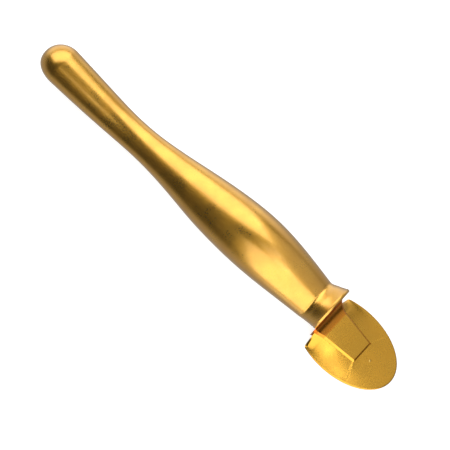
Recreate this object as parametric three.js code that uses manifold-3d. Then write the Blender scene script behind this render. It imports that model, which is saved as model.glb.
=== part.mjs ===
// Brass hand glass cutter: a cast grip, a flared neck ferrule, a low wedge-shaped
// head block and an oval foot, with a small carbide wheel showing through the sole.
//
// Millimetres, +Z up. Z = 0 is the glass surface under the wheel, +X runs from the
// butt of the grip to the tip of the foot, and the tool is symmetric about Y = 0.
// The shapes are laid out from the front face of the neck ferrule, X = 0, and the
// whole tool is then shifted so that the origin is at the middle of its length.

import * as THREE from 'three';
import { mergeVertices } from 'three/addons/utils/BufferGeometryUtils.js';
import Module from 'manifold-3d';

const wasm = await Module();
wasm.setup();

// ---- driving dimensions ----------------------------------------------------

const TOOL_LENGTH = 162;
const FOOT_TIP_X = 30.9;
const BUTT_X = FOOT_TIP_X - TOOL_LENGTH;

const SOLE_Z = 0.3; // the wheel stands this far below the sole
const FOOT_EDGE_Z = 1.0;
const FOOT_PLATE_Z = 2.15;
const FOOT_HOLLOW = 1.15;
const FOOT_REAR_X = 0.7;
const FOOT_HALF_LENGTH = 20.5;
const FOOT_HALF_WIDTH = 13.3;
const FOOT_CENTRE_X = FOOT_TIP_X - FOOT_HALF_LENGTH;

const NECK_X = -7; // seam between the grip and the ferrule
const RIM_WIDTH = 0.8;
const RIM_CENTRE_Z = 12.9;
const RIM_R = 8.64;
const NECK_UNDERSIDE_Z = 1.25;

// centre height and radius of the round grip, from the neck back to the butt's cap
const GRIP_STATIONS = [
  { x: NECK_X, z: 9.1, r: 7.85 },
  { x: -14, z: 9.9, r: 8.7 },
  { x: -22, z: 10.8, r: 9.75 },
  { x: -37, z: 11.0, r: 10.5 },
  { x: -54, z: 9.8, r: 9.3 },
  { x: -68, z: 9.1, r: 7.3 },
  { x: -80, z: 8.3, r: 5.85 },
  { x: -91, z: 7.6, r: 5.55 },
  { x: -106, z: 8.3, r: 6.2 },
  { x: -122, z: 10.2, r: 6.95 },
];

// half width and height of the head block's flat top, and the cove up to the ferrule
const BLOCK_COVE = { x: 4.3, top: 8, foot: 4.5 };
const BLOCK_STATIONS = [
  { x: 0, halfWidth: 7.05 },
  { x: 3.6, halfWidth: 5.6 },
  { x: 16.7, halfWidth: 4.1 },
];
const BLOCK_NOSE_Z = 2.9;
const BLOCK_BEVEL = { width: 0.65, height: 0.75 };
const BLOCK_NOSE_DRAFT = 0.5;
const BLOCK_SEAT_Z = 1.5; // underside of the block, on the foot's floor
const SEAT_CLEARANCE = 0.1;

const SHANK_Z = 4.9; // the head's boss and its stud share one axis with the grip's bore
const BOSS = { r: 2.9, length: 6.2 };
const STUD = { r: 2, front: -1.2, rear: -30 };
const INSERT = { r: 2.9, front: -9, rear: -31 };
const LOCK_SCREW = { x: -17, r: 1.2, length: 1.5 };
const RUNNING = 0.05; // radial clearance of every pin and screw in its hole

const WHEEL = { x: 5.2, r: 1.6, thickness: 1.0, edge: 0.12 };
const AXLE_R = 0.4;
const AXLE_LENGTH = 4.2;
const CARRIER = { length: 5.6, width: 4.3, bottom: 0.85, top: 3.4 };
const CARRIER_SLOT = { length: 3.8, width: 1.2 };
const CARRIER_CLEARANCE = 0.05;
const SOLE_SLOT = { length: 3.9, width: 1.5 };

const FOOT_SCREW = { headR: 1.6, headLength: 0.85, r: 0.9, slot: 0.4 };
const FOOT_SCREW_PLACES = [
  { x: 13, y: 2.3, top: 2.8 },
  { x: 13, y: -2.3, top: 2.8 },
  { x: 3.4, y: 4.1, top: 3.6 },
  { x: 3.4, y: -4.1, top: 3.6 },
];
const SIGHT_PIN = { x: 20.9, r: 0.5 };

const ROUND = 32; // sides of the large turned shapes
const SMALL_ROUND = 20;

// ---- materials -------------------------------------------------------------

const brass = new THREE.MeshStandardMaterial({ color: 0xc79a3c, roughness: 0.32, metalness: 1 });
const wornBrass = new THREE.MeshStandardMaterial({ color: 0xb98c34, roughness: 0.36, metalness: 1 });
const steel = new THREE.MeshStandardMaterial({ color: 0x9a9b9d, roughness: 0.35, metalness: 1 });
const carbide = new THREE.MeshStandardMaterial({ color: 0x55585c, roughness: 0.25, metalness: 1 });

// ---- geometry helpers ------------------------------------------------------

// A closed solid skinned over rings of equal length, each one a list of Vector3 that
// runs anticlockwise when looked at from +X, given from low X to high X.
function skin(rings) {
  const count = rings[0].length;
  const positions = [];
  const indices = [];
  for (const ring of rings) {
    for (const point of ring) positions.push(point.x, point.y, point.z);
  }
  for (let r = 0; r + 1 < rings.length; r += 1) {
    for (let i = 0; i < count; i += 1) {
      const a = r * count + i;
      const b = r * count + ((i + 1) % count);
      const c = a + count;
      const d = b + count;
      indices.push(a, b, d, a, d, c);
    }
  }
  closeEnd(rings[0], 0, positions, indices, true);
  closeEnd(rings.at(-1), (rings.length - 1) * count, positions, indices, false);
  const geometry = new THREE.BufferGeometry();
  geometry.setAttribute('position', new THREE.Float32BufferAttribute(positions, 3));
  geometry.setIndex(indices);
  return geometry;
}

// A fan from the middle of an end ring.
function closeEnd(ring, first, positions, indices, lowEnd) {
  const middle = new THREE.Vector3();
  for (const point of ring) middle.add(point);
  middle.divideScalar(ring.length);
  const hub = positions.length / 3;
  positions.push(middle.x, middle.y, middle.z);
  for (let i = 0; i < ring.length; i += 1) {
    const a = first + i;
    const b = first + ((i + 1) % ring.length);
    if (lowEnd) indices.push(hub, b, a);
    else indices.push(hub, a, b);
  }
}

function toManifold(geometry) {
  const bare = geometry.clone();
  bare.deleteAttribute('normal');
  bare.deleteAttribute('uv');
  const merged = mergeVertices(bare, 1e-5);
  return new wasm.Manifold(
    new wasm.Mesh({
      numProp: 3,
      vertProperties: new Float32Array(merged.attributes.position.array),
      triVerts: new Uint32Array(merged.index.array),
    }),
  );
}

function fromManifold(solid) {
  const mesh = solid.getMesh();
  const geometry = new THREE.BufferGeometry();
  geometry.setAttribute('position', new THREE.BufferAttribute(mesh.vertProperties, 3));
  geometry.setIndex(new THREE.BufferAttribute(mesh.triVerts, 1));
  return geometry;
}

function box(low, high) {
  const size = high.map((value, i) => value - low[i]);
  const centre = high.map((value, i) => (value + low[i]) / 2);
  const geometry = new THREE.BoxGeometry(...size);
  geometry.translate(...centre);
  return toManifold(geometry);
}

// A turned shape: the profile's points are [distance along the axis, radius].
function turned(profile, sides = SMALL_ROUND) {
  const points = profile.map(([along, radius]) => new THREE.Vector2(radius, along));
  return new THREE.LatheGeometry(points, sides);
}

// Turned shapes are made along +Y; these lay them along +X or stand them along +Z.
function alongX(geometry, x, z) {
  geometry.rotateZ(-Math.PI / 2);
  geometry.translate(x, 0, z);
  return toManifold(geometry);
}

function alongZ(geometry, x, y, z) {
  geometry.rotateX(Math.PI / 2);
  geometry.translate(x, y, z);
  return toManifold(geometry);
}

function rod(length, radius) {
  return turned([[0, 0], [0, radius], [length, radius], [length, 0]]);
}

// ---- grip and neck ---------------------------------------------------------

function roundRing(x, z, r) {
  const ring = [];
  for (let i = 0; i < ROUND; i += 1) {
    const angle = (i / ROUND) * 2 * Math.PI;
    ring.push(new THREE.Vector3(x, r * Math.cos(angle), z + r * Math.sin(angle)));
  }
  return ring;
}

function gripGeometry() {
  const last = GRIP_STATIONS.at(-1);
  const curve = new THREE.CatmullRomCurve3(
    GRIP_STATIONS.map((s) => new THREE.Vector3(s.x, s.z, s.r)),
    false,
    'centripetal',
  );
  const rings = [];
  const bodySteps = 36;
  for (let i = 0; i <= bodySteps; i += 1) {
    const p = curve.getPoint(i / bodySteps);
    rings.push(roundRing(p.x, p.y, p.z));
  }
  // the butt is a rounded cap, a little fuller than a half ellipse
  const capLength = last.x - BUTT_X;
  const capSteps = 7;
  for (let i = 1; i <= capSteps; i += 1) {
    const angle = (i / (capSteps + 0.35)) * (Math.PI / 2);
    const x = last.x - capLength * Math.sin(angle);
    const r = last.r * Math.cos(angle) ** 0.85;
    rings.push(roundRing(x, last.z - 0.6 * Math.sin(angle), r));
  }
  // the cap's last ring is closed by a fan whose hub is the tip of the butt
  const tip = rings.at(-1).map((p) => p.clone().setX(BUTT_X));
  const hubZ = last.z - 0.6;
  rings.push(tip.map((p) => new THREE.Vector3(BUTT_X, p.y * 0.3, hubZ + (p.z - hubZ) * 0.3)));
  return skin(rings.reverse());
}

function handleGrip() {
  const bore = alongX(rod(NECK_X - INSERT.rear + 1, INSERT.r + RUNNING), INSERT.rear, SHANK_Z);
  const screwHole = alongZ(rod(LOCK_SCREW.length + 3, LOCK_SCREW.r + RUNNING), LOCK_SCREW.x, 0, -1);
  return toManifold(gripGeometry()).subtract(bore).subtract(screwHole);
}

// Round above its centre; below, it runs down to the straight underside and narrows.
function neckRing(x, z, r, underside) {
  const ring = [];
  for (let i = 0; i < ROUND; i += 1) {
    const angle = (i / ROUND) * 2 * Math.PI;
    const rise = Math.sin(angle);
    const drop = rise < 0 ? z - underside : r;
    const narrowing = rise < 0 ? 1 - ((drop / r - 1) * 0.75) * rise * rise : 1;
    ring.push(new THREE.Vector3(x, r * Math.cos(angle) * narrowing, z + drop * rise));
  }
  return ring;
}

function neckFerrule() {
  const seam = GRIP_STATIONS[0];
  const rimBack = -RIM_WIDTH;
  const rings = [];
  const steps = 8;
  for (let i = 0; i <= steps; i += 1) {
    const t = i / steps;
    const x = NECK_X + (rimBack - NECK_X) * t;
    const flare = 0.8 * t + 0.2 * t * t;
    const z = seam.z + (RIM_CENTRE_Z - seam.z) * flare;
    const r = seam.r + (RIM_R - seam.r) * t * t;
    rings.push(neckRing(x, z, r, NECK_UNDERSIDE_Z));
  }
  rings.push(neckRing(0, RIM_CENTRE_Z, RIM_R, NECK_UNDERSIDE_Z));
  const bore = alongX(rod(2 - 2 * NECK_X, BOSS.r + RUNNING), 1 + 2 * NECK_X, SHANK_Z);
  return toManifold(skin(rings)).subtract(bore);
}

function tangStud() {
  return alongX(rod(STUD.front - STUD.rear, STUD.r), STUD.rear, SHANK_Z);
}

function threadInsert() {
  const sleeve = alongX(rod(INSERT.front - INSERT.rear, INSERT.r), INSERT.rear, SHANK_Z);
  const thread = alongX(rod(INSERT.front - INSERT.rear, STUD.r + RUNNING), INSERT.rear + 0.8, SHANK_Z);
  const screwHole = alongZ(rod(4, LOCK_SCREW.r + RUNNING), LOCK_SCREW.x, 0, SHANK_Z - 4.2);
  return sleeve.subtract(thread).subtract(screwHole);
}

function lockScrew() {
  const top = SHANK_Z - STUD.r - 0.02;
  const bottom = top - LOCK_SCREW.length;
  const body = alongZ(rod(LOCK_SCREW.length, LOCK_SCREW.r), LOCK_SCREW.x, 0, bottom);
  const slot = box([LOCK_SCREW.x - 2, -0.2, bottom - 1], [LOCK_SCREW.x + 2, 0.2, bottom + 0.5]);
  return body.subtract(slot);
}

// ---- head block and foot ---------------------------------------------------

function between(stations, x) {
  const last = stations.at(-1);
  if (x >= last.x) return last.halfWidth;
  const next = Math.max(1, stations.findIndex((s) => s.x > x));
  const a = stations[next - 1];
  const b = stations[next];
  return a.halfWidth + ((b.halfWidth - a.halfWidth) * (x - a.x)) / (b.x - a.x);
}

// Height of the block's top: a hollow quarter turn at the ferrule, then a straight ramp.
function blockTop(x) {
  const noseX = BLOCK_STATIONS.at(-1).x;
  if (x >= BLOCK_COVE.x) {
    const t = (x - BLOCK_COVE.x) / (noseX - BLOCK_COVE.x);
    return BLOCK_COVE.foot + (BLOCK_NOSE_Z - BLOCK_COVE.foot) * Math.min(1, t);
  }
  const t = 1 - Math.max(0, x) / BLOCK_COVE.x;
  return BLOCK_COVE.top - (BLOCK_COVE.top - BLOCK_COVE.foot) * Math.sqrt(1 - t * t);
}

function blockRing(x, top, halfTop, halfBase, floor) {
  const shoulder = top - (halfTop < halfBase ? BLOCK_BEVEL.height : 0.01);
  return [
    new THREE.Vector3(x, halfBase, floor),
    new THREE.Vector3(x, halfBase, shoulder),
    new THREE.Vector3(x, halfTop, top),
    new THREE.Vector3(x, -halfTop, top),
    new THREE.Vector3(x, -halfBase, shoulder),
    new THREE.Vector3(x, -halfBase, floor),
  ];
}

// The wedge, grown by a clearance when it is used to cut its own seat in the foot.
function blockWedge(grow, floor, lift) {
  const noseX = BLOCK_STATIONS.at(-1).x;
  const xs = [0, 0.25, 0.8, 1.6, 2.8, BLOCK_COVE.x, noseX];
  const rings = xs.map((x) => {
    const half = between(BLOCK_STATIONS, x);
    return blockRing(x, blockTop(x) + lift, half + grow, half + BLOCK_BEVEL.width + grow, floor);
  });
  const half = between(BLOCK_STATIONS, noseX) + BLOCK_BEVEL.width + grow;
  const toe = BLOCK_NOSE_Z - BLOCK_BEVEL.height + lift;
  rings.push(blockRing(noseX + BLOCK_NOSE_DRAFT + grow, toe, half - 0.05, half - 0.05, floor));
  return toManifold(skin(rings));
}

function headBlock() {
  const boss = alongX(rod(BOSS.length + 0.5, BOSS.r), -BOSS.length, SHANK_Z);
  const bossEnd = box([0, -BOSS.r, SHANK_Z - BOSS.r], [1, BOSS.r, SHANK_Z + BOSS.r]);
  const thread = alongX(rod(BOSS.length, STUD.r + RUNNING), STUD.front - BOSS.length + 0.3, SHANK_Z);
  let block = blockWedge(0, BLOCK_SEAT_Z, 0).add(boss.subtract(bossEnd)).subtract(thread);
  block = block.subtract(carrierSpace(CARRIER_CLEARANCE));
  for (const place of FOOT_SCREW_PLACES) {
    const hole = rod(place.top + 0.2, FOOT_SCREW.r + RUNNING);
    block = block.subtract(alongZ(hole, place.x, place.y, 0));
  }
  return block;
}

function carrierSpace(grow) {
  const halfLength = CARRIER.length / 2 + grow;
  const halfWidth = CARRIER.width / 2 + grow;
  return box(
    [WHEEL.x - halfLength, -halfWidth, CARRIER.bottom - grow],
    [WHEEL.x + halfLength, halfWidth, CARRIER.top + grow],
  );
}

function footHalfWidth(x) {
  const t = (x - FOOT_CENTRE_X) / FOOT_HALF_LENGTH;
  return FOOT_HALF_WIDTH * Math.sqrt(Math.max(0, 1 - t * t));
}

// Height of the foot: ahead of the block a plate that thins towards its edge, and beside
// the block a slightly hollow flank that climbs to the foot of the block's bevel.
function footTop(x, y) {
  const noseX = BLOCK_STATIONS.at(-1).x + BLOCK_NOSE_DRAFT;
  const edge = footHalfWidth(x);
  if (x >= noseX) {
    const ahead = (x - noseX) / (FOOT_TIP_X - noseX);
    const out = Math.min(1, Math.abs(y) / Math.max(0.5, edge));
    return FOOT_EDGE_Z + (FOOT_PLATE_Z - FOOT_EDGE_Z) * Math.min(1 - ahead, 1 - out ** 2);
  }
  const inner = between(BLOCK_STATIONS, x) + BLOCK_BEVEL.width;
  const t = Math.min(1, Math.max(0, (Math.abs(y) - inner) / Math.max(0.5, edge - inner)));
  const crest = blockTop(x) - BLOCK_BEVEL.height;
  return FOOT_EDGE_Z + (crest - FOOT_EDGE_Z) * (1 - t) ** FOOT_HOLLOW;
}

function footRing(x) {
  const half = footHalfWidth(x);
  const across = 16;
  const ring = [new THREE.Vector3(x, half, SOLE_Z)];
  for (let i = 0; i <= across; i += 1) {
    const y = half * Math.cos((i / across) * Math.PI);
    ring.push(new THREE.Vector3(x, y, footTop(x, y)));
  }
  ring.push(new THREE.Vector3(x, -half, SOLE_Z));
  return ring;
}

function footShoe() {
  const xs = [];
  const steps = 26;
  const start = Math.acos((FOOT_CENTRE_X - FOOT_REAR_X) / FOOT_HALF_LENGTH);
  for (let i = 0; i < steps; i += 1) {
    const angle = start + (i / steps) * (Math.PI - start);
    xs.push(FOOT_CENTRE_X - FOOT_HALF_LENGTH * Math.cos(angle));
  }
  xs.push(FOOT_TIP_X - 0.02);
  let foot = toManifold(skin(xs.map(footRing)));
  foot = foot.subtract(blockWedge(SEAT_CLEARANCE, BLOCK_SEAT_Z, 5));
  foot = foot.subtract(carrierSpace(CARRIER_CLEARANCE));
  const halfLength = SOLE_SLOT.length / 2;
  const halfWidth = SOLE_SLOT.width / 2;
  foot = foot.subtract(
    box([WHEEL.x - halfLength, -halfWidth, -1], [WHEEL.x + halfLength, halfWidth, 2]),
  );
  for (const place of FOOT_SCREW_PLACES) {
    const sink = turned(screwProfile(RUNNING, 3));
    foot = foot.subtract(alongZ(sink, place.x, place.y, SOLE_Z));
  }
  const pinHole = rod(4, SIGHT_PIN.r + RUNNING);
  return foot.subtract(alongZ(pinHole, SIGHT_PIN.x, 0, -1));
}

// ---- fasteners and cutting parts -------------------------------------------

function screwProfile(grow, length) {
  const low = grow > 0 ? -1 : 0.05;
  const headR = FOOT_SCREW.headR + grow;
  return [
    [low, 0],
    [low, headR],
    [0.2, headR],
    [FOOT_SCREW.headLength, FOOT_SCREW.r + grow],
    [length, FOOT_SCREW.r + grow],
    [length, 0],
  ];
}

function footScrew(place) {
  const body = alongZ(turned(screwProfile(0, place.top - SOLE_Z)), place.x, place.y, SOLE_Z);
  const half = FOOT_SCREW.slot / 2;
  const slot = box(
    [place.x - 3, place.y - half, -1],
    [place.x + 3, place.y + half, SOLE_Z + 0.4],
  );
  return body.subtract(slot);
}

function wheelCarrier() {
  const halfLength = CARRIER_SLOT.length / 2;
  const halfWidth = CARRIER_SLOT.width / 2;
  const slot = box([WHEEL.x - halfLength, -halfWidth, 0], [WHEEL.x + halfLength, halfWidth, 5]);
  const hole = rod(8, AXLE_R + 0.02);
  hole.translate(WHEEL.x, -4, WHEEL.r);
  return carrierSpace(0).subtract(slot).subtract(toManifold(hole));
}

// A disc with a blunt V edge and a bore that runs on the axle.
function cuttingWheel() {
  const half = WHEEL.thickness / 2;
  const bore = AXLE_R + RUNNING;
  const geometry = turned(
    [
      [-half, bore],
      [-half, WHEEL.r - 0.35],
      [-WHEEL.edge, WHEEL.r - 0.04],
      [0, WHEEL.r],
      [WHEEL.edge, WHEEL.r - 0.04],
      [half, WHEEL.r - 0.35],
      [half, bore],
      [-half, bore],
    ],
    40,
  );
  geometry.rotateY(Math.PI / 2);
  return geometry;
}

function wheelAxle() {
  const geometry = rod(AXLE_LENGTH, AXLE_R);
  geometry.translate(WHEEL.x, -AXLE_LENGTH / 2, WHEEL.r);
  return toManifold(geometry);
}

function sightPin() {
  const top = footTop(SIGHT_PIN.x, 0) + 0.04;
  return alongZ(rod(top - SOLE_Z - 0.05, SIGHT_PIN.r), SIGHT_PIN.x, 0, SOLE_Z + 0.05);
}

// ---- assembly --------------------------------------------------------------

const tool = new THREE.Group();
tool.position.x = TOOL_LENGTH / 2 - FOOT_TIP_X;

function addPart(name, solid, material) {
  const mesh = new THREE.Mesh(fromManifold(solid), material);
  mesh.name = name;
  tool.add(mesh);
}

addPart('handle_grip', handleGrip(), brass);
addPart('neck_ferrule', neckFerrule(), brass);
addPart('tang_stud', tangStud(), steel);
addPart('thread_insert', threadInsert(), steel);
addPart('lock_screw', lockScrew(), steel);
addPart('head_block', headBlock(), brass);
addPart('foot_shoe', footShoe(), brass);
addPart('wheel_carrier', wheelCarrier(), steel);
addPart('wheel_axle', wheelAxle(), steel);
addPart('sight_pin', sightPin(), wornBrass);
FOOT_SCREW_PLACES.forEach((place, i) => {
  addPart(`foot_screw_${i + 1}`, footScrew(place), wornBrass);
});

const wheel = new THREE.Mesh(cuttingWheel(), carbide);
wheel.name = 'cutting_wheel';
wheel.position.set(WHEEL.x, 0, WHEEL.r);
tool.add(wheel);

const cutter = new THREE.Group();
cutter.add(tool);

export default cutter;
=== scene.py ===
"""Looks of a brass hand glass cutter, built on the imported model.

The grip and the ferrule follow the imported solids: their sections are measured here and
skinned again as fine, smooth meshes. The block and the foot are laid out again from the
solids' dimensions, and the small pieces are sized from their solids' boxes. Every piece
gets a procedural material. Lengths are in metres, except where a name or comment says mm.
"""

import math

import bmesh
import bpy
import numpy as np
from mathutils import Matrix, Vector


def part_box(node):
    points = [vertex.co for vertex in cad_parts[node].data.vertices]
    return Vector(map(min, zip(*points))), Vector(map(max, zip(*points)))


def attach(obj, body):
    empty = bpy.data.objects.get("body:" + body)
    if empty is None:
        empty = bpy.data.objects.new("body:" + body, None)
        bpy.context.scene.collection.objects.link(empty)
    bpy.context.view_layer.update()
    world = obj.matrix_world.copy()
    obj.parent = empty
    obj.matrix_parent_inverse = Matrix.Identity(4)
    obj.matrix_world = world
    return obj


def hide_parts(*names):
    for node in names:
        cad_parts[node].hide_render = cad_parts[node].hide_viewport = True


MM = 0.001

# ---- camera ----------------------------------------------------------------

CAMERA_DISTANCE = 1.0
CAMERA_LENS = 238.0
CAMERA_TILT = math.radians(3.0)  # leans towards the foot
CAMERA_ROLL = math.radians(22.0)  # leans towards the tool's -Y side
TOOL_ANGLE = math.radians(42.6)  # the tool runs down to the right at this angle
RIM_IN_VIEW = (36.2, -28.5)  # the ferrule's rim, right and up of the middle, in mm
RIM_HEIGHT = 12.9  # mm above the glass


def front_x():
    """Where the ferrule's front face is; the head's layout starts there."""
    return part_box("neck_ferrule")[1].x


def camera_axes():
    """Right, up and back, in the row frame."""
    back = Vector(
        (
            math.sin(CAMERA_TILT),
            -math.sin(CAMERA_ROLL) * math.cos(CAMERA_TILT),
            math.cos(CAMERA_ROLL) * math.cos(CAMERA_TILT),
        )
    )
    along = (Vector((1, 0, 0)) - back * back.x).normalized()
    across = back.cross(along)
    turn_cos, turn_sin = math.cos(TOOL_ANGLE), math.sin(TOOL_ANGLE)
    right = along * turn_cos + across * turn_sin
    up = across * turn_cos - along * turn_sin
    return right, up, back


def aim_point():
    """What the camera looks at."""
    right, up, _ = camera_axes()
    rim = Vector((front_x(), 0, RIM_HEIGHT * MM))
    return rim - (right * RIM_IN_VIEW[0] + up * RIM_IN_VIEW[1]) * MM


def make_camera():
    right, up, back = camera_axes()
    data = bpy.data.cameras.new("camera")
    data.lens = CAMERA_LENS
    data.sensor_width = 36.0
    data.clip_start = 0.01
    data.clip_end = 20.0
    camera = bpy.data.objects.new("camera", data)
    bpy.context.scene.collection.objects.link(camera)
    turn = Matrix((right, up, back)).transposed().to_4x4()
    camera.matrix_world = Matrix.Translation(aim_point() + back * CAMERA_DISTANCE) @ turn
    bpy.context.scene.camera = camera


# ---- what the frame says ---------------------------------------------------


def section(obj, x):
    """Points where a mesh's edges cross the plane at x, as an array of (y, z)."""
    mesh = obj.data
    co = np.empty(len(mesh.vertices) * 3, np.float32)
    mesh.vertices.foreach_get("co", co)
    co = co.reshape(-1, 3).astype(float)
    ends = np.empty(len(mesh.edges) * 2, np.int32)
    mesh.edges.foreach_get("vertices", ends)
    a, b = co[ends[0::2]], co[ends[1::2]]
    crossing = (a[:, 0] - x) * (b[:, 0] - x) <= 0
    crossing &= np.abs(a[:, 0] - b[:, 0]) > 1e-9
    a, b = a[crossing], b[crossing]
    t = ((x - a[:, 0]) / (b[:, 0] - a[:, 0]))[:, None]
    return (a + (b - a) * t)[:, 1:]


def smooth_through(xs, values, at):
    """A natural cubic spline through (xs, values), read at the points in at."""
    xs, values, at = (np.asarray(v, float) for v in (xs, values, at))
    n = len(xs)
    h = np.diff(xs)
    matrix = np.eye(n)
    right_side = np.zeros(n)
    for i in range(1, n - 1):
        matrix[i, i - 1 : i + 2] = h[i - 1], 2 * (h[i - 1] + h[i]), h[i]
        slopes = (values[i + 1] - values[i]) / h[i] - (values[i] - values[i - 1]) / h[i - 1]
        right_side[i] = 6 * slopes
    bend = np.linalg.solve(matrix, right_side)
    k = np.clip(np.searchsorted(xs, at) - 1, 0, n - 2)
    left, gap = at - xs[k], h[k]
    rest = xs[k + 1] - at
    return (
        bend[k] * rest**3 / (6 * gap)
        + bend[k + 1] * left**3 / (6 * gap)
        + (values[k] / gap - bend[k] * gap / 6) * rest
        + (values[k + 1] / gap - bend[k + 1] * gap / 6) * left
    )


# ---- mesh helpers ----------------------------------------------------------


def shade(mesh, sharp_degrees):
    """Smooth shading, except across edges that turn by more than the angle."""
    mesh.polygons.foreach_set("use_smooth", [True] * len(mesh.polygons))
    mesh.set_sharp_from_angle(angle=math.radians(sharp_degrees))


def new_object(name, mesh, sharp_degrees=30.0):
    shade(mesh, sharp_degrees)
    obj = bpy.data.objects.new(name, mesh)
    bpy.context.scene.collection.objects.link(obj)
    return obj


def skin(name, rings, cap_low=True, cap_high=True, sharp_degrees=30.0):
    """A mesh over rings of equal length, with its ends closed by flat faces."""
    count = len(rings[0])
    vertices = [tuple(p) for ring in rings for p in ring]
    faces = []
    for r in range(len(rings) - 1):
        for i in range(count):
            j = (i + 1) % count
            faces.append((r * count + i, r * count + j, (r + 1) * count + j, (r + 1) * count + i))
    if cap_low:
        faces.append(tuple(reversed(range(count))))
    if cap_high:
        last = (len(rings) - 1) * count
        faces.append(tuple(range(last, last + count)))
    mesh = bpy.data.meshes.new(name)
    mesh.from_pydata(vertices, [], faces)
    mesh.validate()
    fix_normals(mesh)
    return new_object(name, mesh, sharp_degrees)


def fix_normals(mesh):
    work = bmesh.new()
    work.from_mesh(mesh)
    bmesh.ops.recalc_face_normals(work, faces=work.faces)
    work.to_mesh(mesh)
    work.free()


def circle(radius, height, sides):
    angles = [2 * math.pi * i / sides for i in range(sides)]
    return [(radius * math.cos(a), radius * math.sin(a), height) for a in angles]


def turned(name, profile, sides=64):
    """A closed turned shape about its own Z; the profile's points are (radius, height)."""
    return skin(name, [circle(radius, height, sides) for radius, height in profile])


def add_boolean(obj, operation, tool):
    modifier = obj.modifiers.new(operation.lower(), "BOOLEAN")
    modifier.operation = operation
    modifier.solver = "EXACT"
    modifier.object = tool


def apply_modifiers(obj, sharp_degrees):
    """Makes the modifiers' result the object's own mesh."""
    bpy.context.view_layer.update()
    graph = bpy.context.evaluated_depsgraph_get()
    mesh = bpy.data.meshes.new_from_object(obj.evaluated_get(graph))
    obj.modifiers.clear()
    obj.data = mesh
    shade(mesh, sharp_degrees)


def cut(obj, tools, sharp_degrees=30.0):
    """Takes the tools' shapes out of obj, for good, and removes the tools."""
    for tool in tools:
        add_boolean(obj, "DIFFERENCE", tool)
    apply_modifiers(obj, sharp_degrees)
    for tool in tools:
        bpy.data.objects.remove(tool)


def place(obj, location, axis=(0, 0, 1)):
    """Turns the object's Z onto axis, moves it, and bakes both into its mesh."""
    turn = Vector(axis).to_track_quat("Z", "Y").to_matrix().to_4x4()
    obj.data.transform(Matrix.Translation(Vector(location)) @ turn)
    return obj


def finish_piece(obj, body, node, material):
    obj.data.materials.clear()
    obj.data.materials.append(material)
    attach(obj, body)
    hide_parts(node)


def centre_of(node):
    low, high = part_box(node)
    return (low + high) / 2


# ---- holes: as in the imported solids, but the pin's is a little tighter -----

SLEEVE_BORE_R = 2.95 * MM  # in the grip and the ferrule
STUD_HOLE_R = 2.05 * MM
LOCK_HOLE_R = 1.25 * MM
SCREW_HOLE_R = 0.95 * MM
PIN_HOLE_R = 0.52 * MM
AXLE_HOLE_R = 0.42 * MM
CARRIER_CLEARANCE_MM = 0.05


# ---- grip and ferrule ------------------------------------------------------

GRIP_SIDES = 128
SEAM_BEVEL = 0.00005
RIM_WIDTH = 0.0013
COVE_EASE = 0.0032  # over this length the cove starts at the grip's own slope
COVE_DIP = 0.85  # how much of that slope is taken by the top
COVE_SQUEEZE = 0.22  # and how much by the sides
SOLID_RIM = 0.0008  # the rim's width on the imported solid
RIM_ROUND = 0.00036
BUTT_CAP = 0.0085  # length of the rounded end of the grip
BUTT_DROP = 0.0010  # the tip of the butt sits this much below the cap's centre line


def round_ring(x, z, r):
    ring = []
    for i in range(GRIP_SIDES):
        angle = 2 * math.pi * i / GRIP_SIDES
        ring.append((x, r * math.cos(angle), z + r * math.sin(angle)))
    return ring


def make_grip(node):
    low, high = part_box("handle_grip")
    cap_x = low.x + BUTT_CAP
    stations = np.linspace(cap_x, high.x - 1e-5, 13)
    heights, radii = [], []
    for x in stations:
        points = section(node, x)
        heights.append((points[:, 1].max() + points[:, 1].min()) / 2)
        radii.append(np.abs(points[:, 0]).max())
    xs = np.linspace(cap_x, high.x - SEAM_BEVEL, 200)
    z = smooth_through(stations, heights, xs)
    r = smooth_through(stations, radii, xs)
    z_slope = (z[0] - z[1]) / (xs[1] - xs[0])
    r_slope = (r[0] - r[1]) / (xs[1] - xs[0])
    rings = []
    steps = 40
    for i in range(steps, 0, -1):
        s = math.sin(i / (steps + 0.3) * math.pi / 2)
        fullness = (1 - s * s) ** 0.44
        run = BUTT_CAP * (s - s * s)
        ring_z = z[0] + z_slope * run - BUTT_DROP * s * s
        rings.append(round_ring(cap_x - BUTT_CAP * s, ring_z, (r[0] + r_slope * run) * fullness))
    rings += [round_ring(*values) for values in zip(xs, z, r)]
    rings.append(round_ring(high.x - SEAM_BEVEL / 3, z[-1], r[-1] - SEAM_BEVEL / 4))
    rings.append(round_ring(high.x, z[-1], r[-1] - SEAM_BEVEL))
    return skin("grip", rings)


def neck_ring(x, top, bottom, r):
    """Round above its centre; below, it runs down to the straight underside and narrows."""
    centre = top - r
    drop = centre - bottom
    ring = []
    for i in range(GRIP_SIDES):
        angle = 2 * math.pi * i / GRIP_SIDES
        rise = math.sin(angle)
        reach = drop if rise < 0 else r
        narrowing = 1 - (drop / r - 1) * 0.75 * rise * rise if rise < 0 else 1
        ring.append((x, r * math.cos(angle) * narrowing, centre + reach * rise))
    return ring


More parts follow.
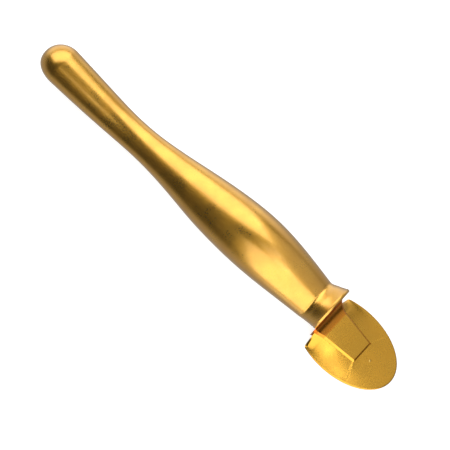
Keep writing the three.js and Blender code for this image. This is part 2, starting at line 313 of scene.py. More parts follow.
def make_ferrule(node):
    low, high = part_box("neck_ferrule")
    rim_x = high.x - RIM_WIDTH
    stations = np.linspace(low.x + 1e-5, high.x - SOLID_RIM, 6)
    tops, bottoms, radii = [], [], []
    for x in stations:
        points = section(node, x)
        tops.append(points[:, 1].max())
        bottoms.append(points[:, 1].min())
        radii.append(np.abs(points[:, 0]).max())
    xs = np.linspace(low.x + SEAM_BEVEL, rim_x, 48)
    curves = [smooth_through(stations, v, xs) for v in (tops, bottoms, radii)]
    reach = np.clip((xs - low.x) / COVE_EASE, 0, 1)
    ease = COVE_EASE * reach * (1 - reach) ** 2
    curves[0] -= COVE_DIP * ease
    curves[2] -= COVE_SQUEEZE * ease
    first = [c[0] for c in curves]
    last = [tops[-1], bottoms[-1], radii[-1]]

    def shrunk(x, values, inset):
        return neck_ring(x, values[0] - inset, values[1] + inset, values[2] - inset)

    rings = [shrunk(low.x, first, SEAM_BEVEL), shrunk(low.x + SEAM_BEVEL / 3, first, SEAM_BEVEL / 4)]
    rings += [neck_ring(x, t, b, r) for x, t, b, r in zip(xs, *curves)]
    bead = high.x - rim_x
    for i in range(17):
        across = -1 + i / 8
        inset = RIM_ROUND * (1 - math.sqrt(1 - 0.98 * across * across))
        rings.append(shrunk(rim_x + bead * (1 + across) / 2, last, inset))
    return skin("ferrule", rings)


# ---- head block and foot, laid out in millimetres from the ferrule's front face ----

BLOCK_NOSE_X = 16.7
BLOCK_HALF_WIDTHS = [(0.0, 7.05), (3.6, 5.6), (16.7, 4.1)]
COVE_X, COVE_TOP, COVE_FOOT = 4.3, 8.0, 4.5
BLOCK_NOSE_Z = 2.9
WALL_WIDTH, WALL_HEIGHT = 0.65, 0.75
NOSE_DRAFT = 0.5
SEAT_Z = 1.5
SEAM_MM = 0.04  # gap between the block and its seat

SOLE_Z = 0.3
EDGE_Z = 1.0
PLATE_Z = 2.15  # the foot's top just ahead of the block
FOOT_TIP = 30.9
FOOT_A, FOOT_B = 20.5, 13.3
REAR_X = 0.7
REAR_BEVEL = 0.65
CORNER_FROM, CORNER_TO = 6.0, 12.2  # across, where the rear face draws back at each corner
CORNER_ROUND = 1.2  # the last stretch of that is a round
FLANK_HOLLOW = 1.15  # over 1, the flank beside the block is slightly hollow
CREASE_ANGLE = math.radians(63.0)


def block_half(x):
    xs, halves = zip(*BLOCK_HALF_WIDTHS)
    return float(np.interp(x, xs, halves))


def block_top(x):
    if x >= COVE_X:
        t = min(1.0, (x - COVE_X) / (BLOCK_NOSE_X - COVE_X))
        return COVE_FOOT + (BLOCK_NOSE_Z - COVE_FOOT) * t
    t = 1 - max(0.0, x) / COVE_X
    return COVE_TOP - (COVE_TOP - COVE_FOOT) * math.sqrt(1 - t * t)


def to_frame(points):
    """Layout millimetres to the row frame."""
    front = front_x()
    return [(front + x * MM, y * MM, z * MM) for x, y, z in points]


def block_ring(x, top, shoulder, half_top, half_base, floor):
    points = [
        (x, half_base, floor),
        (x, half_base, shoulder),
        (x, half_top, top),
        (x, -half_top, top),
        (x, -half_base, shoulder),
        (x, -half_base, floor),
    ]
    return to_frame(points)


def block_shape(name, grow, floor, lift=0.0):
    """The block without its boss; the seat cut in the foot is the same shape, grown."""
    cove_steps = [COVE_X * (1 - math.cos(i / 24 * math.pi / 2)) for i in range(25)]
    rings = []
    for x in [*cove_steps, BLOCK_NOSE_X]:
        half, top = block_half(x) + grow, block_top(x) + lift
        rings.append(block_ring(x, top, top - WALL_HEIGHT, half, half + WALL_WIDTH, floor))
    half, toe_z = block_half(BLOCK_NOSE_X) + grow, PLATE_Z + 0.02 + lift
    toe_x = BLOCK_NOSE_X + NOSE_DRAFT + grow
    rings.append(block_ring(toe_x, toe_z, toe_z - 0.2, half + 0.2, half + WALL_WIDTH, floor))
    return skin(name, rings, sharp_degrees=25)


def outline(angle):
    """A point of the oval outline; 0 is the tip, and it turns towards -Y."""
    return FOOT_TIP - FOOT_A + FOOT_A * math.cos(angle), -FOOT_B * math.sin(angle)


def foot_column(inner, inner_z, angle, hollow):
    """From the block's side outward over the top, round the edge and onto the sole."""
    outer = np.array(outline(angle))
    inner = np.array(inner)
    inward = inner - outer
    span = float(np.linalg.norm(inward))
    inward /= span
    edge = outer + inward * 0.5
    points = []
    for i in range(25):
        t = i / 24
        z = EDGE_Z + (inner_z - EDGE_Z) * (1 - t) ** hollow
        plan = inner + (edge - inner) * t
        points.append((plan[0], plan[1], z))
    low = EDGE_Z - SOLE_Z
    rounding = [(0.3, 0.03), (0.12, 0.12), (0.03, 0.24), (0.0, 0.36)]
    rounding += [(0.0, low - 0.2), (0.05, low - 0.06), (0.2, low)]
    for inset, drop in rounding:
        plan = outer + inward * inset
        points.append((plan[0], plan[1], EDGE_Z - drop))
    return points


def foot_ring(column):
    mirrored = [(x, -y, z) for x, y, z in column]
    return to_frame(list(reversed(column)) + mirrored)


def make_foot():
    rear_angle = math.acos((REAR_X - FOOT_TIP + FOOT_A) / FOOT_A)
    rings = []
    flank_columns = 56
    last_x = BLOCK_NOSE_X + NOSE_DRAFT / 2
    for i in range(flank_columns + 1):
        t = (i / flank_columns) ** 1.4
        x = REAR_X + (last_x - REAR_X) * t
        inner = (x, -block_half(x) - WALL_WIDTH - SEAM_MM)
        crest = block_top(x) - WALL_HEIGHT
        angle = rear_angle + (CREASE_ANGLE - rear_angle) * t
        rings.append(foot_ring(foot_column(inner, crest, angle, FLANK_HOLLOW)))
    nose_columns = 48
    nose_half = block_half(BLOCK_NOSE_X) + WALL_WIDTH
    nose_x = BLOCK_NOSE_X + NOSE_DRAFT + SEAM_MM
    first_angle = CREASE_ANGLE - math.radians(1.2)
    for i in range(nose_columns + 1):
        t = i / nose_columns
        inner = (nose_x, -nose_half * (1 - t))
        rings.append(foot_ring(foot_column(inner, PLATE_Z, first_angle * (1 - t), 1.0)))
    foot = skin("foot", rings, cap_high=False, sharp_degrees=35)
    weld(foot)
    bevel_rear(foot)
    seat = block_shape("seat", SEAM_MM, SEAT_Z, lift=5.0)
    cut(foot, [seat, *rear_corners(), carrier_space(CARRIER_CLEARANCE_MM), sole_slot(), pin_hole()], 35)
    cut(foot, [countersink(node) for node in screw_nodes()], 35)
    return foot


def bevel_rear(foot):
    """Slopes the foot's top down over its last stretch before the rear face."""
    rear = front_x() + REAR_X * MM
    length = REAR_BEVEL * MM
    for vertex in foot.data.vertices:
        reach = 1 - (vertex.co.x - rear - rear_draft(abs(vertex.co.y) / MM) * MM) / length
        height = vertex.co.z - SOLE_Z * MM
        if reach > 0 and height > 0.2 * MM:
            vertex.co.z -= min(reach * length * 0.8, height * 0.5)


def rear_draft(y):
    """How far the rear face has drawn back at y, in mm."""
    return 0.55 * max(0.0, (y - CORNER_FROM) / 5.75) ** 1.6


def rear_corners():
    """What is taken off the foot's two rear corners: a slight draft that ends in a round."""
    tools = []
    for side in (-1, 1):
        plan = [(REAR_X - 3, CORNER_FROM)]
        for i in range(41):
            y = CORNER_FROM + (CORNER_TO - CORNER_FROM) * i / 40
            turn = min(1.0, max(0.0, (y - CORNER_TO) / CORNER_ROUND + 1))
            plan.append((REAR_X + rear_draft(y) + 1 - math.sqrt(1 - turn * turn), y))
        plan.append((REAR_X + 1.62, 20.0))
        plan.append((REAR_X - 3, 20.0))
        rings = [to_frame([(x, side * y, z) for x, y in plan]) for z in (-1.0, 12.0)]
        tools.append(skin("rear_corner", rings))
    return tools


def weld(obj):
    work = bmesh.new()
    work.from_mesh(obj.data)
    bmesh.ops.remove_doubles(work, verts=work.verts, dist=1e-7)
    bmesh.ops.dissolve_degenerate(work, edges=work.edges, dist=1e-8)
    bmesh.ops.recalc_face_normals(work, faces=work.faces)
    work.to_mesh(obj.data)
    work.free()


def make_block():
    block = block_shape("block", 0.0, SEAT_Z)
    soften(block, 0.09 * MM)
    tools = [carrier_space(CARRIER_CLEARANCE_MM)]
    for node in screw_nodes():
        low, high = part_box(node)
        profile = [(SCREW_HOLE_R, low.z), (SCREW_HOLE_R, high.z + 0.2 * MM)]
        hole = turned("screw_hole", profile, 32)
        tools.append(place(hole, ((low.x + high.x) / 2, (low.y + high.y) / 2, 0)))
    cut(block, tools, 35)
    return block


def soften(obj, width):
    """Rounds the sharp edges, so that they catch the light."""
    modifier = obj.modifiers.new("soften", "BEVEL")
    modifier.width = width
    modifier.segments = 3
    modifier.limit_method = "ANGLE"
    modifier.angle_limit = math.radians(24)
    apply_modifiers(obj, 40)


def box_shape(name, low, high):
    mesh = bpy.data.meshes.new(name)
    work = bmesh.new()
    bmesh.ops.create_cube(work, size=1.0)
    size = Vector(high) - Vector(low)
    middle = (Vector(high) + Vector(low)) / 2
    for vertex in work.verts:
        vertex.co = Vector(a * b for a, b in zip(vertex.co, size)) + middle
    work.to_mesh(mesh)
    work.free()
    return new_object(name, mesh)


def carrier_space(grow_mm):
    low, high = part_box("wheel_carrier")
    grow = Vector((1, 1, 1)) * grow_mm * MM
    return box_shape("carrier_space", low - grow, high + grow)


def sole_slot():
    """A round-ended slot in the sole for the wheel."""
    low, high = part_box("cutting_wheel")
    x, half_length, half_width = (low.x + high.x) / 2, 1.95 * MM, 0.75 * MM
    rings = []
    for z in (-1 * MM, 2 * MM):
        ring = []
        for i in range(32):
            angle = 2 * math.pi * (i + 0.5) / 32
            shift = math.copysign(half_length - half_width, math.cos(angle))
            ring.append((x + shift + half_width * math.cos(angle), half_width * math.sin(angle), z))
        rings.append(ring)
    return skin("sole_slot", rings)


def screw_nodes():
    return [f"foot_screw_{i}" for i in (1, 2, 3, 4)]


def countersink(node):
    centre = centre_of(node)
    z = SOLE_Z * MM
    profile = [(1.65 * MM, z - 1 * MM), (1.65 * MM, z + 0.2 * MM)]
    profile += [(SCREW_HOLE_R, z + 0.85 * MM), (SCREW_HOLE_R, z + 2 * MM)]
    return place(turned("countersink", profile, 48), (centre.x, centre.y, 0))


def pin_hole():
    centre = centre_of("sight_pin")
    hole = turned("pin_hole", [(PIN_HOLE_R, -1 * MM), (PIN_HOLE_R, 4 * MM)], 32)
    return place(hole, (centre.x, centre.y, 0))


# ---- fasteners and the cutting parts ---------------------------------------


def threaded(name, profile, thread, pitch, sides=40):
    """A turned piece about its own Z with a helical thread between two heights."""
    depth = pitch * 0.45
    steps = 10
    levels = []
    for (r0, z0), (r1, z1) in zip(profile, profile[1:]):
        count = max(1, int(abs(z1 - z0) / pitch * steps))
        levels += [(r0 + (r1 - r0) * i / count, z0 + (z1 - z0) * i / count) for i in range(count)]
    levels.append(profile[-1])
    rings = []
    for r, z in levels:
        ring = []
        on_thread = thread[0] < z < thread[1]
        for i in range(sides):
            turn = i / sides
            wave = abs(((z / pitch - turn) % 1.0) * 2 - 1)
            radius = r - depth * wave if on_thread else r
            angle = 2 * math.pi * turn
            ring.append((radius * math.cos(angle), radius * math.sin(angle), z))
        rings.append(ring)
    return skin(name, rings, sharp_degrees=40)


def make_foot_screw(node, slot_angle):
    low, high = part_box(node)
    centre = centre_of(node)
    top, r, head = high.z - low.z, 0.86 * MM, 1.55 * MM
    profile = [(head - 0.08 * MM, 0), (head, 0.06 * MM), (head, 0.16 * MM)]
    profile += [(r, 0.82 * MM), (r, top - 0.15 * MM), (r - 0.2 * MM, top)]
    screw = threaded(node + "_fine", profile, (0.95 * MM, top - 0.05 * MM), 0.4 * MM, 48)
    slot = box_shape("slot", (-3 * MM, -0.2 * MM, -1 * MM), (3 * MM, 0.2 * MM, 0.38 * MM))
    slot.data.transform(Matrix.Rotation(slot_angle, 4, "Z"))
    cut(screw, [slot])
    return place(screw, (centre.x, centre.y, low.z))


def make_sight_pin():
    low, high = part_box("sight_pin")
    r, top = 0.5 * MM, high.z - low.z
    profile = [(r, 0), (r, top - 0.12 * MM), (r * 0.8, top - 0.04 * MM), (r * 0.4, top)]
    centre = centre_of("sight_pin")
    return place(turned("sight_pin_fine", profile, 40), (centre.x, centre.y, low.z))


def make_wheel():
    """A ground disc: flat faces with a small chamfer, and a V edge that scores the glass."""
    low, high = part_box("cutting_wheel")
    r, half, bore = (high.z - low.z) / 2, (high.y - low.y) / 2, 0.45 * MM
    profile = [
        (bore, -half + 0.05 * MM),
        (bore + 0.05 * MM, -half),
        (r - 0.42 * MM, -half),
        (r - 0.35 * MM, -half + 0.04 * MM),
        (r - 0.02 * MM, -0.03 * MM),
        (r, 0.0),
        (r - 0.02 * MM, 0.03 * MM),
        (r - 0.35 * MM, half - 0.04 * MM),
        (r - 0.42 * MM, half),
        (bore + 0.05 * MM, half),
        (bore, half - 0.05 * MM),
    ]
    rings = [circle(radius, height, 96) for radius, height in [*profile, profile[0]]]
    wheel = skin("wheel_fine", rings, cap_low=False, cap_high=False, sharp_degrees=20)
    weld(wheel)
    return place(wheel, (low + high) / 2, axis=(0, 1, 0))


def make_axle():
    low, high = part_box("wheel_axle")
    r, half = (high.z - low.z) / 2, (high.y - low.y) / 2
    bevel = 0.08 * MM
    profile = [(r - bevel, -half), (r, -half + bevel), (r, half - bevel), (r - bevel, half)]
    return place(turned("axle_fine", profile, 40), (low + high) / 2, axis=(0, 1, 0))


def make_carrier():
    low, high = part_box("wheel_carrier")
    centre = centre_of("wheel_carrier")
    carrier = box_shape("carrier_fine", low, high)
    soften(carrier, 0.15 * MM)
    slot_half = Vector((1.9 * MM, 0.6 * MM, 5 * MM))
    slot = box_shape("slot", centre - slot_half, centre + slot_half)
    axle = centre_of("wheel_axle")
    hole = turned("axle_hole", [(AXLE_HOLE_R, -5 * MM), (AXLE_HOLE_R, 5 * MM)], 32)
    cut(carrier, [slot, place(hole, axle, axis=(0, 1, 0))])
    return carrier


def make_stud():
    low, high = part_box("tang_stud")
    r, length = (high.z - low.z) / 2, high.x - low.x
    end = 0.4 * MM
    profile = [(r - end, 0), (r, end), (r, length - end), (r - end, length)]
    stud = threaded("stud_fine", profile, (0.3 * MM, length - 0.3 * MM), 0.7 * MM)
    return place(stud, (low.x, 0, (low.z + high.z) / 2), axis=(1, 0, 0))


def make_insert():
    """A sleeve with ribs outside, to grip the bore it is pressed into."""
    low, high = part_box("thread_insert")
    r, length = (high.z - low.z) / 2, high.x - low.x
    ribs, sides = 24, 144
    rings = []
    for height, scale in ((0, 0.94), (0.4 * MM, 1.0), (length - 0.4 * MM, 1.0), (length, 0.94)):
        ring = []
        for i in range(sides):
            angle = 2 * math.pi * i / sides
            radius = r * scale - 0.12 * MM * (0.5 - 0.5 * math.cos(ribs * angle))
            ring.append((radius * math.cos(angle), radius * math.sin(angle), height))
        rings.append(ring)
    insert = skin("insert_fine", rings)
    bore = turned("bore", [(STUD_HOLE_R, 0.8 * MM), (STUD_HOLE_R, length + 1 * MM)], 48)
    cut(insert, [bore])
    place(insert, (low.x, 0, (low.z + high.z) / 2), axis=(1, 0, 0))
    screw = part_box("lock_screw")
    hole = turned("hole", [(LOCK_HOLE_R, 0), (LOCK_HOLE_R, (low.z + high.z) / 2)], 40)
    cut(insert, [place(hole, ((screw[0].x + screw[1].x) / 2, 0, 0))])
    return insert


def make_lock_screw():
    low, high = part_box("lock_screw")
    r, top = (high.x - low.x) / 2, high.z - low.z
    profile = [(r - 0.12 * MM, 0), (r, 0.12 * MM), (r, top - 0.3 * MM), (r - 0.4 * MM, top)]
    screw = threaded("lock_screw_fine", profile, (0.12 * MM, top - 0.3 * MM), 0.45 * MM)
    slot = box_shape("slot", (-3 * MM, -0.2 * MM, -1 * MM), (3 * MM, 0.2 * MM, 0.45 * MM))
    cut(screw, [slot])
    return place(screw, ((low.x + high.x) / 2, 0, low.z))


def bore_grip(grip):
    insert_low, insert_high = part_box("thread_insert")
    axis_z = (insert_low.z + insert_high.z) / 2
    bore = turned("bore", [(SLEEVE_BORE_R, 0), (SLEEVE_BORE_R, 30 * MM)], 48)
    place(bore, (insert_low.x, 0, axis_z), axis=(1, 0, 0))
    screw = centre_of("lock_screw")
    hole = turned("hole", [(LOCK_HOLE_R, -1 * MM), (LOCK_HOLE_R, axis_z)], 40)
    cut(grip, [bore, place(hole, (screw.x, 0, 0))])


def shank_z():
    """Height of the axis that the boss and the stud share."""
    low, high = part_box("tang_stud")
    return (low.z + high.z) / 2


def bore_ferrule(ferrule):
    bore = turned("bore", [(SLEEVE_BORE_R, 0), (SLEEVE_BORE_R, 20 * MM)], 48)
    start_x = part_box("neck_ferrule")[0].x - 5 * MM
    place(bore, (start_x, 0, shank_z()), axis=(1, 0, 0))
    cut(ferrule, [bore])


def make_boss(block):
    """The block's round boss, which sits in the ferrule's bore and takes the stud."""
    low_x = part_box("head_block")[0].x
    length = front_x() - low_x
    profile = [(2.7 * MM, 0), (2.9 * MM, 0.2 * MM), (2.9 * MM, length + 0.02 * MM)]
    boss = place(turned("boss", profile, 48), (low_x, 0, shank_z()), axis=(1, 0, 0))
    add_boolean(block, "UNION", boss)
    thread = turned("thread", [(STUD_HOLE_R, -1 * MM), (STUD_HOLE_R, length - 0.9 * MM)], 40)
    place(thread, (low_x, 0, shank_z()), axis=(1, 0, 0))
    cut(block, [thread], 35)
    bpy.data.objects.remove(boss)


# ---- materials -------------------------------------------------------------


class Nodes:
    """A material's node tree, with short calls to add and join its nodes."""

    def __init__(self, name, color, metallic, roughness):
        self.material = bpy.data.materials.new(name)
        self.material.use_nodes = True
        self.tree = self.material.node_tree
        self.shader = self.tree.nodes["Principled BSDF"]
        self.shader.inputs["Base Color"].default_value = (*color, 1)
        self.shader.inputs["Metallic"].default_value = metallic
        self.shader.inputs["Roughness"].default_value = roughness
        self.place = self.add("ShaderNodeTexCoord").outputs["Object"]

    def add(self, kind, **settings):
        node = self.tree.nodes.new(kind)
        for key, value in settings.items():
            setattr(node, key, value)
        return node

    def join(self, source, target):
        self.tree.links.new(source, target)

    def noise(self, size_mm, detail=3.0, stretch=(1, 1, 1), turn=(0, 0, 0), roughness=0.5):
        """Noise with features of about size_mm, longer along an axis with a stretch over 1."""
        rotate = self.add("ShaderNodeMapping", vector_type="POINT")
        rotate.inputs["Rotation"].default_value = [math.radians(a) for a in turn]
        scale = self.add("ShaderNodeMapping", vector_type="POINT")
        scale.inputs["Scale"].default_value = [1 / (size_mm * MM * s) for s in stretch]
        texture = self.add("ShaderNodeTexNoise")
        texture.inputs["Scale"].default_value = 1.0
        texture.inputs["Detail"].default_value = detail
        texture.inputs["Roughness"].default_value = roughness
        self.join(self.place, rotate.inputs["Vector"])
        self.join(rotate.outputs["Vector"], scale.inputs["Vector"])
        self.join(scale.outputs["Vector"], texture.inputs["Vector"])
        return texture.outputs["Fac"]

    def span(self, value, low, high, out_low=0.0, out_high=1.0):
        node = self.add("ShaderNodeMapRange", clamp=True, interpolation_type="SMOOTHSTEP")
        node.inputs["From Min"].default_value = low
        node.inputs["From Max"].default_value = high
        node.inputs["To Min"].default_value = out_low
        node.inputs["To Max"].default_value = out_high
        self.join(value, node.inputs["Value"])
        return node.outputs["Result"]

    def math(self, operation, a, b):
        node = self.add("ShaderNodeMath", operation=operation)
        for socket, value in zip(node.inputs, (a, b)):
            if isinstance(value, (int, float)):
                socket.default_value = value
            else:
                self.join(value, socket)
        return node.outputs["Value"]

    def mix(self, amount, a, b):
        node = self.add("ShaderNodeMix", data_type="RGBA")
        self.join(amount, node.inputs["Factor"])
        for socket, value in ((node.inputs[6], a), (node.inputs[7], b)):
            if isinstance(value, tuple):
                socket.default_value = (*value, 1)
            else:
                self.join(value, socket)
        return node.outputs[2]

    def bump(self, heights):
        """Chains (height, depth in mm) pairs into the surface's normal."""
        normal = None
        for height, depth_mm in heights:
            node = self.add("ShaderNodeBump")
            node.inputs["Strength"].default_value = 1.0
            node.inputs["Distance"].default_value = depth_mm * MM
            self.join(height, node.inputs["Height"])
            if normal is not None:
                self.join(normal, node.inputs["Normal"])
            normal = node.outputs["Normal"]
        self.join(normal, self.shader.inputs["Normal"])


BRASS = (0.92, 0.475, 0.042)
BRASS_PALE = (0.95, 0.56, 0.075)
BRASS_DEEP = (0.78, 0.36, 0.025)
# painted shadow: the colour of the ferrule's shadow in the block's cove
BRASS_FERRULE_SHADOW = (0.78, 0.26, 0.015)
BRASS_PIT = (0.30, 0.13, 0.02)
BRASS_DULL = (0.80, 0.50, 0.11)
BRASS_GRIME = (0.42, 0.24, 0.05)
STEEL = (0.60, 0.60, 0.61)
CARBIDE = (0.33, 0.34, 0.36)
CARD = (0.50, 0.50, 0.50)
CARD_FIBRE = (0.47, 0.47, 0.47)
FLOOR_GLOW = 0.82  # keeps the card nearly white to the eye under the dim panels


def lacquer(n, weight, roughness):
    """The thin wax and handling film on old brass, which pales its highlights."""
    n.shader.inputs["Coat Weight"].default_value = weight
    n.shader.inputs["Coat IOR"].default_value = 1.65
    n.shader.inputs["Coat Roughness"].default_value = roughness


def brass(name, scratch_turn, roughness=0.29, tarnish=0.55, relief=1.0, film=1.0):
    """Satin brass: polished by hand, with fine scratches, soft mottling and small dark pits."""
    n = Nodes(name, BRASS, 1.0, roughness)
    cloud = n.span(n.noise(6.0, 4), 0.35, 0.68)
    grain = n.span(n.noise(0.55, 5, roughness=0.65), 0.30, 0.72)
    long_lines = n.span(n.noise(0.10, 2, stretch=(60, 1, 1), turn=scratch_turn), 0.30, 0.70)
    cross_turn = (scratch_turn[0], scratch_turn[1], scratch_turn[2] + 62)
    cross_lines = n.span(n.noise(0.12, 2, stretch=(40, 1, 1), turn=cross_turn), 0.60, 0.75)
    pits = n.span(n.noise(0.8, 3, roughness=0.7), 0.68, 0.78)
    color = n.mix(n.math("MULTIPLY", cloud, tarnish), BRASS, BRASS_DEEP)
    color = n.mix(n.math("MULTIPLY", grain, 0.25), color, BRASS_PALE)
    color = n.mix(n.math("MULTIPLY", pits, 0.35), color, BRASS_PIT)
    n.color = color
    n.join(color, n.shader.inputs["Base Color"])
    rough = n.math("ADD", n.math("MULTIPLY", cloud, 0.07), roughness - 0.05)
    rough = n.math("ADD", rough, n.math("MULTIPLY", grain, 0.05))
    rough = n.math("ADD", rough, n.math("MULTIPLY", long_lines, 0.03))
    n.join(rough, n.shader.inputs["Roughness"])
    relief_mm = [(long_lines, 0.0006), (cross_lines, 0.0008), (grain, 0.0008), (cloud, 0.014)]
    n.bump([(height, depth * relief) for height, depth in relief_mm])
    lacquer(n, film, 0.22)
    return n


def paint_ferrule_shadow(n):
    """Painted shadow: darker, redder colour in the cove ahead of the ferrule, where the ferrule's rim
    shades the block.
    """
    along = n.add("ShaderNodeSeparateXYZ")
    n.join(n.place, along.inputs["Vector"])
    edge = n.math("ADD", along.outputs["X"], n.math("MULTIPLY", n.noise(2.0, 3), 0.0004))
    start = front_x() + COVE_X * MM
    # painted shadow: 85 % of the shadow colour over the cove, fading out just past the cove's end
    ferrule_shadow_mask = n.span(edge, start - 0.0001, start + 0.0005, 0.85, 0.0)
    n.join(n.mix(ferrule_shadow_mask, n.color, BRASS_FERRULE_SHADOW), n.shader.inputs["Base Color"])


def turned_brass(name):
    """Duller brass of the screws and pin, with the marks of the lathe."""
    n = Nodes(name, BRASS_DULL, 1.0, 0.34)
    grain = n.span(n.noise(0.4, 4), 0.30, 0.70)
    dirt = n.span(n.noise(1.1, 4), 0.45, 0.70)
    rings = n.span(n.noise(0.05, 1, stretch=(30, 30, 1)), 0.35, 0.65)
    color = n.mix(n.math("MULTIPLY", dirt, 0.45), BRASS_DULL, BRASS_GRIME)
    n.join(color, n.shader.inputs["Base Color"])
    n.join(n.math("ADD", n.math("MULTIPLY", dirt, 0.15), 0.28), n.shader.inputs["Roughness"])
    n.bump([(rings, 0.002), (grain, 0.003)])
    return n.material


def steel(name, color, roughness, lines):
    """Turned or ground steel with fine marks and a little oil darkening."""
    n = Nodes(name, color, 1.0, roughness)
    dark = tuple(c * 0.55 for c in color)
    marks = n.span(n.noise(0.04, 2, stretch=lines), 0.30, 0.70)
    oil = n.span(n.noise(1.5, 4), 0.42, 0.70)
    n.join(n.mix(n.math("MULTIPLY", oil, 0.6), color, dark), n.shader.inputs["Base Color"])
    rough = n.math("ADD", n.math("MULTIPLY", marks, 0.10), roughness - 0.05)
    n.join(n.math("ADD", rough, n.math("MULTIPLY", oil, 0.10)), n.shader.inputs["Roughness"])
    n.bump([(marks, 0.0015)])
    return n.material


def paper(name):
    """White matt card with a faint fibre."""
    n = Nodes(name, CARD, 0.0, 0.9)
    fibre = n.span(n.noise(1.2, 4), 0.3, 0.7)
    color = n.mix(n.math("MULTIPLY", fibre, 0.5), CARD, CARD_FIBRE)
    n.join(color, n.shader.inputs["Base Color"])
    n.shader.inputs["Specular IOR Level"].default_value = 0.1
    n.shader.inputs["Emission Color"].default_value = (1, 1, 1, 1)
    n.shader.inputs["Emission Strength"].default_value = FLOOR_GLOW
    return n.material


# ---- floor, lights and world -----------------------------------------------

AMBIENT = 0.05  # what the metal mirrors of the room away from the panels


def make_floor():
    mesh = bpy.data.meshes.new("floor")
    half = 1.5
    corners = [(-half, -half, 0), (half, -half, 0), (half, half, 0), (-half, half, 0)]
    mesh.from_pydata(corners, [], [(0, 1, 2, 3)])
    floor = bpy.data.objects.new("floor", mesh)
    bpy.context.scene.collection.objects.link(floor)
    mesh.materials.append(paper("white_card"))
    floor.visible_glossy = False


def make_panel(name, place_mm, aim_mm, size_mm, radiance):
    """A soft panel; places are right, up and back of what the camera looks at, in mm."""
    right, up, back = camera_axes()
    axes = Matrix((right, up, back)).transposed()
    data = bpy.data.lights.new(name, "AREA")
    data.shape = "RECTANGLE"
    data.size, data.size_y = (length * MM for length in size_mm)
    data.energy = radiance * math.pi * data.size * data.size_y
    light = bpy.data.objects.new(name, data)
    bpy.context.scene.collection.objects.link(light)
    light.visible_camera = False
    spot = aim_point() + axes @ Vector(place_mm) * MM
    away = (axes @ (Vector(place_mm) - Vector(aim_mm))).normalized()
    across = (right - away * right.dot(away)).normalized()
    turn = Matrix((across, away.cross(across), away)).transposed().to_4x4()
    light.matrix_world = Matrix.Translation(spot) @ turn


def make_lights():
    """Panels placed so that the grip mirrors two broad bands with a dark one between."""
    make_panel("softbox_top", (-70, 235, 170), (-70, 0, 62), (520, 350), 1.8)
    make_panel("softbox_bottom", (15, -87, 150), (15, 0, 125), (210, 312), 1.65)
    make_panel("panel_right", (170, 45, 120), (45, -40, 0), (200, 260), 0.44)
    make_panel("panel_over_head", (92, -18, 330), (58, -50, 0), (105, 120), 1.35)
    make_panel("panel_over_foot", (155, 62, 330), (70, -60, 0), (60, 60), 1.6)


def make_world():
    """Pale to the eye; the metal mirrors a dim room, brighter behind it above and below."""
    right, up, back = camera_axes()
    world = bpy.data.worlds.new("world")
    world.use_nodes = True
    tree = world.node_tree
    background = tree.nodes["Background"]
    direction = tree.nodes.new("ShaderNodeTexCoord").outputs["Generated"]

    def towards(axis, low, high, out_low, out_high):
        dot = tree.nodes.new("ShaderNodeVectorMath")
        dot.operation = "DOT_PRODUCT"
        dot.inputs[1].default_value = axis
        tree.links.new(direction, dot.inputs[0])
        ramp = tree.nodes.new("ShaderNodeMapRange")
        ramp.interpolation_type = "SMOOTHSTEP"
        for socket, value in zip(ramp.inputs[1:5], (low, high, out_low, out_high)):
            socket.default_value = value
        tree.links.new(dot.outputs["Value"], ramp.inputs["Value"])
        return ramp.outputs["Result"]

    def math_node(operation, a, b):
        node = tree.nodes.new("ShaderNodeMath")
        node.operation = operation
        tree.links.new(a, node.inputs[0])
        if isinstance(b, float):
            node.inputs[1].default_value = b
        else:
            tree.links.new(b, node.inputs[1])
        return node.outputs["Value"]

    behind = towards(back, -0.35, 0.15, 1.0, 0.0)
    above = towards(up, 0.45, 0.80, 0.30, 1.0)
    below = towards(up, -0.68, -0.82, 0.0, 1.0)
    glow = math_node("MULTIPLY", behind, math_node("MAXIMUM", above, below))
    mirrored = math_node("ADD", glow, AMBIENT)
    eye = tree.nodes.new("ShaderNodeLightPath").outputs["Is Camera Ray"]
    level = math_node("MAXIMUM", mirrored, eye)
    tree.links.new(level, background.inputs["Strength"])
    background.inputs["Color"].default_value = (1, 1, 1, 1)
    bpy.context.scene.world = world


def set_view():
    view = bpy.context.scene.view_settings
    view.view_transform = "Standard"
    view.look = "None"
    view.exposure = 0.0
    view.gamma = 1.0


# ---- putting it together ---------------------------------------------------


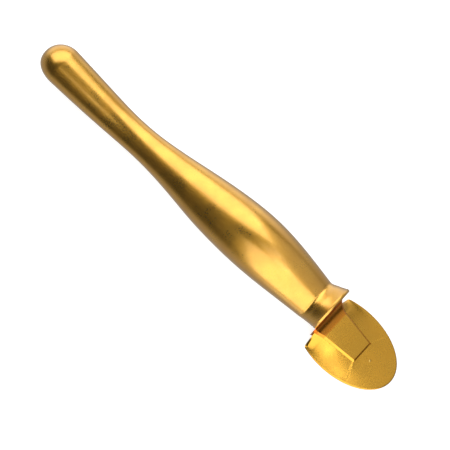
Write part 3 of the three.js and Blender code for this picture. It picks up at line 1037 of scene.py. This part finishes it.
def build_tool(nodes):
    grip_brass = brass("brass_grip", (0, 0, 8)).material
    head_finish = {"roughness": 0.25, "tarnish": 0.25, "relief": 0.25, "film": 0.3}
    foot_brass = brass("brass_foot", (0, 0, 55), **head_finish).material
    block_nodes = brass("brass_block", (0, 0, 40), **head_finish)
    # paints the ferrule's shadow into the block's colour
    paint_ferrule_shadow(block_nodes)
    dull_brass = turned_brass("brass_turned")
    plain_steel = steel("steel_turned", STEEL, 0.30, (30, 30, 1))
    carbide = steel("carbide_ground", CARBIDE, 0.24, (1, 30, 30))

    grip = make_grip(nodes["handle_grip"])
    bore_grip(grip)
    finish_piece(grip, "tool", "handle_grip", grip_brass)
    ferrule = make_ferrule(nodes["neck_ferrule"])
    bore_ferrule(ferrule)
    finish_piece(ferrule, "tool", "neck_ferrule", grip_brass)
    block = make_block()
    make_boss(block)
    finish_piece(block, "tool", "head_block", block_nodes.material)
    finish_piece(make_foot(), "tool", "foot_shoe", foot_brass)
    finish_piece(make_sight_pin(), "tool", "sight_pin", dull_brass)
    for node, degrees in zip(screw_nodes(), (20, 115, 65, 160)):
        screw = make_foot_screw(node, math.radians(degrees))
        finish_piece(screw, "tool", node, dull_brass)
    steel_pieces = {
        "tang_stud": make_stud,
        "thread_insert": make_insert,
        "lock_screw": make_lock_screw,
        "wheel_carrier": make_carrier,
        "wheel_axle": make_axle,
    }
    for node, make in steel_pieces.items():
        finish_piece(make(), "tool", node, plain_steel)
    finish_piece(make_wheel(), "wheel", "cutting_wheel", carbide)


def corners(box):
    return [list(corner) for corner in box]


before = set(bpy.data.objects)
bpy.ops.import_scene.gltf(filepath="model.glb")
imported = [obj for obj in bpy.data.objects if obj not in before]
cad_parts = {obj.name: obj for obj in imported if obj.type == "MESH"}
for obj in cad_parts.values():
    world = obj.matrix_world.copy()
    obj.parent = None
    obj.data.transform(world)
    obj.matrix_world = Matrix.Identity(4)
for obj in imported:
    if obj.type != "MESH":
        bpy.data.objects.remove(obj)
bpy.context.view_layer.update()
make_camera()
build_tool(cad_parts)
make_floor()
make_lights()
make_world()
set_view()
